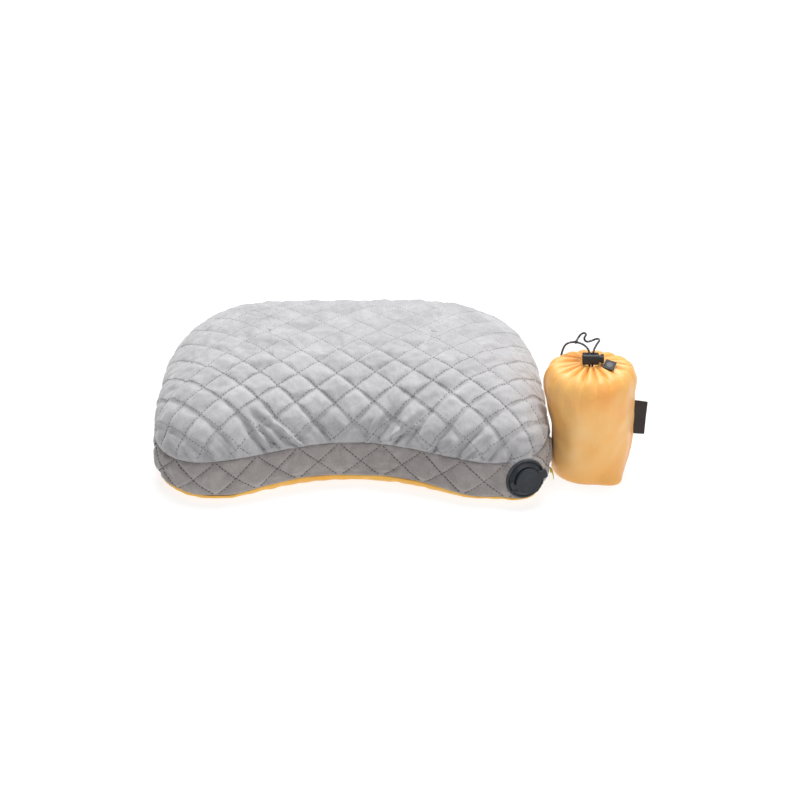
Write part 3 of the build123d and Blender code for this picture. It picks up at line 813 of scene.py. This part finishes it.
def make_pillow():
    whole = pillow_grid()
    band_start = BASE_ROWS - 1
    top_start = band_start + BAND_ROWS - 1
    whole = simulate(whole, top_start, band_start)
    form = whole
    whole = smoothed(doubled(whole), 1)
    band_start, top_start = 2 * band_start, 2 * top_start

    normals = wrapped_normals(whole)
    normals[0] = (0, 0, -1)
    normals[-1] = (0, 0, 1)
    top = whole[top_start:].copy()
    one, other = quilt_distances(flat_places(top))
    near_seam = arc_up(top)
    lift = quilt_relief(one, other, 1.5 * MM, 0.7 * MM)
    lift = lift * np.clip(near_seam / (8 * MM), 0, 1) * frontness(top)
    lift += seam_pull(top, one, other, near_seam)
    lift += pucker_height(top) + seam_fall(near_seam)
    over_seam = near_seam / END_REACH
    swell = END_SWELL * np.where(top[..., 0] < 0, 1.0, 0.3) * at_ends(top)
    lift += swell * over_seam * np.exp(1 - over_seam)
    lift += 0.5 * MM * low_noise(top, 60 * MM, 3) + 0.25 * MM * low_noise(top, 17 * MM, 5)
    top += normals[top_start:] * lift[..., None]
    hang_seams(top)
    top = settle_under_bezel(top)

    band = whole[band_start:top_start + 1].copy()
    one, other = band_distances(band)
    edge = np.minimum(SEAM_HIGH - band[..., 2], band[..., 2] - SEAM_LOW)
    lift = quilt_relief(one, other, 1.2 * MM, 0.8 * MM) * np.clip(edge / (5 * MM), 0, 1)
    lift += seam_fall(edge) + 0.4 * MM * low_noise(band, 40 * MM, 8)
    fall = (SEAM_HIGH - band[..., 2]) / (SEAM_HIGH - SEAM_LOW)
    lift -= END_TUCK * at_left_end(band) * np.clip(fall + 0.2, 0, 1)
    band += normals[band_start:top_start + 1] * lift[..., None]
    hang_seams(band)
    band = settle_under_bezel(band)

    base = whole[:band_start + 1].copy()
    edge = np.maximum(SEAM_LOW - base[..., 2], 0)
    lift = seam_fall(edge) + 0.8 * MM * bell(edge - 6 * MM, 4 * MM)
    lift -= END_TUCK * at_left_end(base) * bell(edge, 8 * MM)
    lift += 0.45 * MM * low_noise(base, 16 * MM, 11) * bell(edge - 6 * MM, 5 * MM)
    base += normals[:band_start + 1] * lift[..., None]
    hang_seams(base)
    base = settle_under_bezel(base)
    base[..., 2] = np.maximum(base[..., 2], 0.0)

    cover = suede("suede_top", srgb(170, 169, 171), srgb(194, 193, 195))
    # The side band's suede is a darker, warmer copy of the top's. That is partly its own tone, and partly
    # painted shade of the upright band, which gets less of the light from above.
    side = suede("suede_side_and_shade", srgb(148, 142, 140), srgb(172, 166, 164))
    under = nylon("base_nylon", srgb(255, 180, 66), srgb(255, 198, 90), srgb(255, 212, 122))
    top_piece = panel("pillow_top", top, cover, close_ridge=True)
    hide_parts("top_cover", "top_wadding", "top_backing")
    side_piece = panel("pillow_side", band, side)
    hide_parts("side_band", "side_wadding", "side_backing")
    base_piece = panel("pillow_base", base, under, 0.6 * MM, close_ridge=True)
    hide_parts("bottom_cover")
    make_stitches(top, band)
    make_bladder(form)


COVER_DEPTH = 9 * MM        # cover, wadding and backing together
BLADDER_Z = 2 * MM


def make_bladder(form):
    """The welded film bladder inside the cover: the pillow's form, drawn in by the cover's thickness."""
    inner = form - wrapped_normals(form) * COVER_DEPTH
    inner[0] = form[0]
    inner[-1] = form[-1] - (0, 0, COVER_DEPTH)
    inner[:BASE_ROWS - BASE_EDGE_ROWS, :, 2] = BLADDER_Z
    inner[..., 2] = np.maximum(inner[..., 2], BLADDER_Z)
    film = rubber("bladder_film", srgb(188, 190, 186))
    bladder = panel("bladder", inner, film, 0.3 * MM, close_ridge=True)
    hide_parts("bladder_upper", "bladder_lower")


# ---- stitching
STITCH_PITCH = 3.6 * MM
QUILT_SPAN = 0.24           # stitch lines are tried this far each way from the middle
QUILT_LINES = 12
STITCH_LENGTH = 2.3 * MM
# The threads are drawn wide, so that their dark colour also covers the shade along each stitch line:
# painted shade, widest on the side band.
THREAD_R = 0.28 * MM
SIDE_THREAD_R = 0.38 * MM


def sample(grid, row, column):
    """A grid's value between its points, closed round its columns."""
    rows, columns = grid.shape[:2]
    row = min(max(row, 0.0), rows - 1.001)
    r0, c0 = int(row), int(column) % columns
    r, c = row - int(row), column - int(column)
    c1 = (c0 + 1) % columns
    low = grid[r0, c0] * (1 - c) + grid[r0, c1] * c
    high = grid[r0 + 1, c0] * (1 - c) + grid[r0 + 1, c1] * c
    return low * (1 - r) + high * r


def column_of(x, y):
    """The column, on the doubled grid, that a flat place of the top panel lies in."""
    if x > RIDGE_HALF:
        angle = math.atan2(y - RIDGE_Y, x - RIDGE_HALF)
        column = (0.5 - angle / math.pi) * END_COLUMNS
    elif x < -RIDGE_HALF:
        angle = math.atan2(y - RIDGE_Y, x + RIDGE_HALF)
        angle -= 2 * math.pi if angle > 0 else 0
        column = (-angle / math.pi - 0.5) * END_COLUMNS + END_COLUMNS + SIDE_COLUMNS
    elif y < RIDGE_Y:
        column = END_COLUMNS + (RIDGE_HALF - x) / (2 * RIDGE_HALF) * SIDE_COLUMNS
    else:
        column = 2 * END_COLUMNS + SIDE_COLUMNS + (x + RIDGE_HALF) / (2 * RIDGE_HALF) * SIDE_COLUMNS
    return 2 * column


def top_stitch_places(top):
    """Pairs of ends of each stitch on the top panel, as (row, column) on its grid."""
    down = arc_down(top)
    rows, columns = top.shape[:2]
    places = []

    def place(u, w):
        x, y = (u + w) / math.sqrt(2), (u - w) / math.sqrt(2)
        ridge_x = max(-RIDGE_HALF, min(RIDGE_HALF, x))
        reach = math.hypot(x - ridge_x, y - RIDGE_Y)
        column = column_of(x, y) % columns
        fall = down[:, int(column)]
        if reach > fall[0] - 3 * MM:
            return None
        return np.interp(-reach, -fall, np.arange(rows)), column

    for family in (0, 1):
        spacing, start = ((QUILT_U, 0.0), (QUILT_W, QUILT_W_START))[family]
        for line in range(-QUILT_LINES, QUILT_LINES + 1):
            level = start + line * spacing
            for step in range(-int(QUILT_SPAN / STITCH_PITCH), int(QUILT_SPAN / STITCH_PITCH)):
                ends = []
                for along in (step * STITCH_PITCH, step * STITCH_PITCH + STITCH_LENGTH):
                    ends.append(place(level, along) if family == 0 else place(along, level))
                if None not in ends:
                    places.append(ends)
    return places


def band_stitch_places(band):
    """Pairs of ends of each stitch on the side band, as (row, column) on its grid."""
    around, length = along_seam(band[-1])
    rows, columns = band.shape[:2]
    order = np.argsort(around)
    period = length / round(length / BAND_PERIOD)
    height = SEAM_HIGH - SEAM_LOW
    run = math.hypot(height, period)
    places = []

    def place(start, sense, share):
        along = start + sense * share * period
        along = (along - around.min()) % length + around.min()
        column = np.interp(along, around[order], order.astype(float))
        return (1 - share) * (rows - 1), column

    for line in range(round(length / period)):
        for sense in (-1, 1):
            step = 2 * MM
            while step + STITCH_LENGTH < run - 2 * MM:
                ends = [place(line * period, sense, s / run) for s in (step, step + STITCH_LENGTH)]
                if abs(ends[0][1] - ends[1][1]) < 20:
                    places.append(ends)
                step += STITCH_PITCH
    return places


def stitched(name, grid, places, material, thread_r):
    """One mesh of short curved stitches, each dipping into the fabric at its ends."""
    normals = wrapped_normals(grid)
    shape = ((0.0, 0.35, -1.3), (0.14, 0.9, 0.0), (0.5, 1.0, 0.5), (0.86, 0.9, 0.0), (1.0, 0.35, -1.3))
    sides = 6
    points = []
    faces = []
    for (row_a, column_a), (row_b, column_b) in places:
        a = sample(grid, row_a, column_a)
        b = sample(grid, row_b, column_b)
        length = np.linalg.norm(b - a)
        if not np.isfinite(a).all() or length > 2 * STITCH_LENGTH or length < 1e-5:
            continue
        height, radius = valve_reach((a + b) / 2)
        if radius < BEZEL_RUN[0] and abs(height) < VALVE_NEAR:
            continue
        out = sample(normals, row_a, column_a)
        out = out / np.linalg.norm(out)
        across = np.cross(b - a, out)
        across /= np.linalg.norm(across)
        thick = thread_r * (0.4 + 0.6 * float(frontness(a)))
        start = len(points)
        for share, swell, rise in shape:
            middle = a + (b - a) * share + out * thick * (rise + 0.3)
            for side in range(sides):
                angle = 2 * math.pi * side / sides
                ring = across * math.cos(angle) + out * math.sin(angle)
                points.append(middle + ring * thick * swell)
        faces += tube_faces(len(shape), sides, start)
    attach(link_mesh(name, points, faces, material), "pillow")


def make_stitches(top, band):
    # The threads' dark colours stand for the thread and also for the shade in the pinch of each stitch
    # line, so they are partly painted shade. The side band's thread is a darker copy of the top's: painted
    # shade of the upright band.
    stitched("quilt_stitches_top", top, top_stitch_places(top),
             thread("quilt_thread_and_shade_top", srgb(78, 77, 79), srgb(112, 111, 113)), THREAD_R)
    stitched("quilt_stitches_side", band, band_stitch_places(band),
             thread("quilt_thread_and_shade_side", srgb(52, 48, 47), srgb(82, 78, 77)), SIDE_THREAD_R)


# ---- side tab
TAB_SHARE = 0.7             # the loop lies closer in than its CAD solid
TAB_RIPPLE = 0.15 * MM


def make_side_tab():
    """A folded tape, sewn into the low seam: its loop hangs out beside the valve's end."""
    low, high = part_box("side_tab")
    reach = (high.x - low.x) * TAB_SHARE
    drop = high.z - low.z
    loop = ((-0.1, 0.98), (0.45, 0.93), (0.75, 0.62), (0.93, 0.2), (0.95, 0.04),
            (0.80, 0.03), (0.70, 0.22), (0.52, 0.62), (0.28, 0.84), (-0.1, 0.88))
    path = np.array([(low.x + reach * x, low.z + drop * z) for x, z in loop])
    fine = np.linspace(0, len(path) - 1, 46)
    place = np.arange(len(path))
    xs = np.interp(fine, place, path[:, 0])
    zs = np.interp(fine, place, path[:, 1])
    for _ in range(6):
        xs[1:-1] = (xs[:-2] + 2 * xs[1:-1] + xs[2:]) / 4
        zs[1:-1] = (zs[:-2] + 2 * zs[1:-1] + zs[2:]) / 4
    across = 11
    points = []
    for x, z in zip(xs, zs):
        for y in np.linspace(low.y, high.y, across):
            points.append((x, y, z + TAB_RIPPLE * math.sin(y * 900)))
    tape = woven("yellow_tape", srgb(255, 238, 40), srgb(216, 190, 30), 1400.0)
    tab = link_mesh("side_tab_tape", points, grid_faces(len(xs), across, wrap=False), tape)
    thicken(tab, 0.45 * MM)
    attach(tab, "pillow")
    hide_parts("side_tab")


# ---- stuff sack
SACK_COLUMNS = 360
PLEATS = 17
MOUTH_R = 12 * MM
BODY_Z = (2.5 * MM, 88 * MM)        # the sack's sides: it is closed below and rounds in above
BODY_STEPS = 46
CROWN_STEPS = 30
SACK_ROWS = 92
GATHER_R = 41 * MM          # the pleats start this far out
GATHER_RUN = 17 * MM
GATHER_Z = 84 * MM          # and at this height
SHOULDER_R = 34.5 * MM
SHOULDER_SIDES = 4.0 * MM   # how far the shoulder stands out at the side seams
SHOULDER_FRONT = 1.0 * MM
CORNER_TURN = -0.86         # where the front right corner of the underside stands out, in radians
CORNER_RISE = 9.5 * MM
PROFILE_Z = (0, 29, 50, 75, 86, 100)            # bulge of the two side seams by height, in millimetres
PROFILE_RIGHT = (4.3, 5.5, 4.0, 1.3, 0.4, 0)
PROFILE_LEFT = (1.5, -1.0, -2.4, -0.5, 0.6, 0)
HEM = ((10.6, 113.2), (10.3, 113.9), (9.6, 114.2), (8.8, 113.9),    # rings of the mouth's hem:
       (8.0, 112.6), (6.6, 110.8), (4.2, 109.4), (1.2, 109))        # radius and height, in millimetres


def pleat_wave(angle):
    """Uneven pleats round the mouth, between -1 and 1, narrow in their valleys."""
    draw = np.random.default_rng(21)
    phase = angle * PLEATS
    for turns in (1, 2, 3, 5):
        phase = phase + draw.uniform(0.25, 0.6) * np.sin(turns * angle + draw.uniform(0, 6.28))
    wave = np.abs(np.sin(phase / 2)) ** 0.45
    strength = 1 + 0.25 * np.sin(3 * angle + 1.0) + 0.2 * np.sin(7 * angle + 2.0)
    return (2 * wave - 1.35) * strength


def make_sack():
    skin = surface_of("sack_front", "sack_back")
    low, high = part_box("sack_front")
    middle_x = (low.x + high.x) / 2
    middle_y = high.y
    crown = high.z
    angles = np.linspace(0, 2 * math.pi, SACK_COLUMNS, endpoint=False)[::-1]
    columns = []
    body_heights = np.linspace(*BODY_Z, BODY_STEPS)
    for angle in angles:
        out = Vector((math.cos(angle), math.sin(angle), 0))
        rise = []
        for z in body_heights:
            middle = Vector((middle_x, middle_y, z))
            rise.append(skin.ray_cast(middle + out * FAR, -out, FAR * 1.2)[0])
        pivot = Vector((middle_x, middle_y, BODY_Z[1]))
        for slope in np.linspace(0.04, 1.0, CROWN_STEPS):
            tilt = slope * math.atan2(crown - pivot.z, MOUTH_R * 1.05)
            way = out * math.cos(tilt) + Vector((0, 0, math.sin(tilt)))
            rise.append(skin.ray_cast(pivot + way * FAR, -way, FAR * 1.2)[0])
        columns.append([tuple(p) for p in rise])
    grid = resampled(np.array(columns).transpose(1, 0, 2), SACK_ROWS)
    grid[1:-1] = smoothed(grid, 3)[1:-1]

    centre = np.array((middle_x, middle_y, 0))
    offset = grid - centre
    radius = np.hypot(offset[..., 0], offset[..., 1])
    height = offset[..., 2]
    angle = np.arctan2(offset[..., 1], offset[..., 0])
    normals = wrapped_normals(grid)
    pleats = pleat_wave(angle)
    on_top = np.clip((height - GATHER_Z) / (18 * MM), 0, 1)
    gathered = np.clip((GATHER_R - radius) / GATHER_RUN, 0, 1) * on_top
    lift = pleats * gathered * (2.1 + 0.7 * gathered) * MM
    fading = np.clip((height - 40 * MM) / (50 * MM), 0, 1) ** 2 * (1 - gathered)
    lift += 0.2 * MM * fading * pleats
    bend = np.stack([np.cos(angle) * 0.05, np.sin(angle) * 0.05, height * 0.45], axis=-1)
    body = np.clip(height / (12 * MM), 0, 1) * (1 - gathered)
    lift += body * (0.75 * MM * low_noise(bend, 34 * MM, 31) + 0.35 * MM * low_noise(grid, 13 * MM, 33))
    side_seam = np.minimum(np.abs(angle), math.pi - np.abs(angle)) * np.maximum(radius, 1 * MM)
    seam_ridge = 0.9 * bell(side_seam, 1.4 * MM) - 0.8 * bell(side_seam - 3.2 * MM, 1.6 * MM)
    lift += seam_ridge * MM * (1 - gathered)
    sideways = np.abs(np.cos(angle)) ** 5
    rise = np.clip((height - GATHER_Z) / (14 * MM), 0, 1)
    shoulder = bell(radius - SHOULDER_R, 7 * MM) * rise * rise * (3 - 2 * rise)
    lift += SHOULDER_SIDES * sideways * shoulder + SHOULDER_FRONT * (1 - sideways) * shoulder
    lift += CORNER_RISE * bell(angle - CORNER_TURN, 0.34) * bell(height, 13 * MM)
    levels = np.array(PROFILE_Z) * MM
    right = np.interp(height, levels, np.array(PROFILE_RIGHT) * MM)
    left = np.interp(height, levels, np.array(PROFILE_LEFT) * MM)
    lift += np.where(np.cos(angle) > 0, right, left) * np.abs(np.cos(angle)) ** 4
    grid = grid + normals * lift[..., None]

    rows = [grid]
    wave = pleat_wave(angles)
    for index, (r, z) in enumerate(HEM):
        ruffle = 0.55 * MM * wave * (1 - index / len(HEM))
        r, z = r * MM, z * MM
        ring = np.stack([middle_x + (r + ruffle) * np.cos(angles), middle_y + (r + ruffle) * np.sin(angles),
                         z + 0.35 * ruffle], axis=-1)
        rows.append(ring[None])
    base = []
    foot = grid[0]
    for share in np.linspace(0.02, 0.97, 9):
        ring = centre + (foot - centre) * share
        ring[:, 2] = 0.35 * MM * (1 - share)
        base.append(ring[None])
    whole = np.concatenate(base + rows)
    whole[..., 2] = np.maximum(whole[..., 2], 0.0)
    cloth = nylon("sack_nylon", srgb(253, 164, 66), srgb(255, 190, 98), srgb(255, 211, 140),
                  gloss=0.34, translucent=0.15, coating=0.5)
    sack = link_mesh("stuff_sack", whole.reshape(-1, 3), grid_faces(len(whole), SACK_COLUMNS), cloth)
    bottom_ring = range(SACK_COLUMNS)
    top_ring = [len(whole) * SACK_COLUMNS - 1 - i for i in range(SACK_COLUMNS)]
    work = bmesh.new()
    work.from_mesh(sack.data)
    work.verts.ensure_lookup_table()
    work.faces.new([work.verts[i] for i in reversed(bottom_ring)])
    work.faces.new([work.verts[i] for i in reversed(top_ring)])
    bmesh.ops.recalc_face_normals(work, faces=work.faces)
    work.to_mesh(sack.data)
    work.free()
    sack.data.shade_smooth()
    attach(sack, "sack")
    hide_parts("sack_front", "sack_back", "cord_channel", "packed_roll")


def make_label():
    """A folded woven label, sewn into the sack's side seam. It is blank."""
    low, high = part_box("side_label")
    across, up = 16, 40
    points = []
    for j in range(up + 1):
        v = j / up
        for i in range(across + 1):
            u = i / across
            x = low.x + (high.x - low.x) * (0.10 * v + 0.02) + (high.x - low.x) * 0.87 * u
            z = low.z + (high.z - low.z) * 0.96 * v + (1 - u) * 1.4 * MM
            curl = 0.9 * MM * math.sin(3.0 * v + 1.2 * u) * u
            y = (low.y + high.y) / 2 + curl - 0.3 * MM * math.sin(9 * v)
            edge = min(u, 1 - u) * 13 * MM, min(v, 1 - v) * 37 * MM
            y -= 0.16 * MM * float(bell(min(edge) - 1.6 * MM, 0.45 * MM))
            points.append((x, y, z))
    dark = woven("label_weave", srgb(52, 44, 42), srgb(30, 25, 24), 1300.0)
    label = link_mesh("side_label_tape", points, grid_faces(up + 1, across + 1, wrap=False), dark)
    thicken(label, 0.9 * MM)
    label.modifiers["thickness"].offset = 0.0
    rounded = label.modifiers.new("rounded", "BEVEL")
    rounded.width = 0.25 * MM
    rounded.segments = 2
    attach(label, "sack")
    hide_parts("side_label")


# ---- drawcord
CORD_D = 2.0 * MM
KNOT_CORD_R = 0.92 * MM     # the cord is drawn a little thinner in the knot
LEFT_STRAND = (
    (0.2212, -0.078, 0.1185), (0.2212, -0.078, 0.1275), (0.216, -0.0712, 0.131), (0.2092, -0.0632, 0.1294),
    (0.203, -0.0562, 0.1254), (0.1986, -0.051, 0.1186), (0.197, -0.0486, 0.108),
)
RIGHT_STRAND = (
    (0.2238, -0.078, 0.1185), (0.2238, -0.078, 0.1273), (0.2275, -0.071, 0.131),
    (0.2312, -0.0645, 0.132), (0.229, -0.0602, 0.1318), (0.2226, -0.0618, 0.1294),
    (0.2182, -0.0642, 0.13), (0.216, -0.0636, 0.1334), (0.2188, -0.0608, 0.136),
    (0.2166, -0.0568, 0.1362), (0.2118, -0.059, 0.1336), (0.2092, -0.0632, 0.1294),
)


def cord_curve(name, route, material):
    curve = bpy.data.curves.new(name, "CURVE")
    curve.dimensions = "3D"
    curve.bevel_depth = CORD_D / 2
    curve.bevel_resolution = 4
    curve.resolution_u = 10
    curve.use_fill_caps = True
    spline = curve.splines.new("NURBS")
    spline.points.add(len(route) - 1)
    for point, place in zip(spline.points, route):
        point.co = (*place, 1.0)
    spline.order_u = 3
    spline.use_endpoint_u = True
    obj = bpy.data.objects.new(name, curve)
    bpy.context.collection.objects.link(obj)
    curve.materials.append(material)
    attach(obj, "sack")
    return obj


def tied_knot(centre, material):
    """A pulled-tight overhand knot: a trefoil of the cord."""
    steps, sides = 90, 10
    line = []
    for i in range(steps):
        t = 2 * math.pi * i / steps
        line.append(((math.sin(t) + 2 * math.sin(2 * t)) * 0.42, (math.cos(t) - 2 * math.cos(2 * t)) * 0.42,
                     -math.sin(3 * t) * 0.55))
    line = np.array(line) * MM
    tangents = np.roll(line, -1, axis=0) - np.roll(line, 1, axis=0)
    tangents /= np.linalg.norm(tangents, axis=1, keepdims=True)
    side = np.cross(tangents, line + (0, 0, 3 * MM))
    side /= np.linalg.norm(side, axis=1, keepdims=True)
    rise = np.cross(tangents, side)
    points = []
    for i in range(steps):
        for j in range(sides):
            angle = 2 * math.pi * j / sides
            points.append(line[i] + (side[i] * math.cos(angle) + rise[i] * math.sin(angle)) * KNOT_CORD_R)
    faces = []
    for i in range(steps):
        for j in range(sides):
            a, b = i * sides, ((i + 1) % steps) * sides
            k = (j + 1) % sides
            faces.append((a + j, a + k, b + k, b + j))
    knot = link_mesh("tied_knot", np.array(points) + np.array(centre), faces, material)
    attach(knot, "sack")
    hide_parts("cord_knot")
    return knot


def make_drawcord():
    black = braid("drawcord_braid", srgb(44, 44, 48), srgb(190, 190, 192))
    left = cord_curve("drawcord_left", LEFT_STRAND, black)
    right = cord_curve("drawcord_right", RIGHT_STRAND, black)
    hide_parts("cord_left")
    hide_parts("cord_right")
    knot = tied_knot(LEFT_STRAND[3], black)
    return black


# ---- finishes on the CAD's own pieces
def dress(material, *names):
    for name in names:
        slots = frame["nodes"][name].data.materials
        slots.clear()
        slots.append(material)


def patch_finish():
    """Dark square with a paler middle, and a fine grain over it."""
    n = Nodes("patch_finish")
    low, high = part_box("square_patch")
    middle = (low + high) / 2
    offset = n.add("ShaderNodeVectorMath", {0: n.place, 1: middle}, operation="SUBTRACT")
    distance = n.add("ShaderNodeVectorMath", {0: offset.outputs[0]}, operation="LENGTH")
    scaled = n.math("MULTIPLY", distance.outputs["Value"], 120.0)
    grain = n.noise(900.0, 3.0)
    base = n.ramp(scaled, (0.30, srgb(98, 100, 103)), (0.42, srgb(34, 34, 37)))
    n.colour(n.times(base, n.ramp(grain, (0.3, grey(0.8)), (0.7, grey(1)))))
    n.set(Roughness=0.6)
    n.bump((grain, 0.0001))
    return n.material


SPRING_WIRE = 0.45 * MM     # radius
SPRING_TURNS = 3


def make_spring(material):
    """The cord lock's coil spring, drawn as long as its CAD part; in the lock it shortens as the plunger is
    pressed in.
    """
    low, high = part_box("lock_spring")
    middle = (low + high) / 2
    coil_r = (high.z - low.z) / 2 - SPRING_WIRE
    length = high.x - low.x - 2 * SPRING_WIRE
    steps, sides = 96, 8
    points = []
    for step in range(steps + 1):
        share = step / steps
        angle = 2 * math.pi * SPRING_TURNS * share
        out = np.array((0, math.cos(angle), math.sin(angle)))
        centre = np.array((low.x + SPRING_WIRE + length * share, middle.y, middle.z)) + out * coil_r
        for side in range(sides):
            turn = 2 * math.pi * side / sides
            ring = out * math.cos(turn) + np.array((1, 0, 0)) * math.sin(turn)
            points.append(centre + ring * SPRING_WIRE)
    spring = link_mesh("lock_coil_spring", points, tube_faces(steps + 1, sides), material)
    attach(spring, "sack")
    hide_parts("lock_spring")
    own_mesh(spring)


def make_finishes(black_cord):
    dark = moulded("valve_plastic", srgb(31, 36, 43), srgb(48, 54, 62), 0.42)
    dress(dark, "valve_plug", "valve_lid")
    # The flange's plastic is a paler copy of the plug's and lid's, standing for the light its sloped top
    # face catches: painted highlight.
    dress(moulded("bezel_plastic_highlight", srgb(46, 50, 55), srgb(68, 72, 77), 0.42), "valve_flange")
    seal = rubber("seal_rubber", srgb(36, 37, 40))
    dress(seal, "plug_seal", "lid_seal")
    dress(rubber("membrane_rubber", srgb(176, 178, 172)), "membrane")
    steel = metal("pin_steel", (0.62, 0.63, 0.65), 0.25)
    dress(steel, "hinge_pin")
    make_spring(steel)
    lock = moulded("lock_plastic", srgb(26, 26, 28), srgb(50, 50, 54), 0.38)
    dress(lock, "lock_barrel", "lock_plunger")
    dress(black_cord, "channel_cord")
    dress(patch_finish(), "square_patch")


make_camera()
make_studio()
drawcord_material = make_drawcord()
make_pillow()
make_side_tab()
make_sack()
make_label()
make_finishes(drawcord_material)
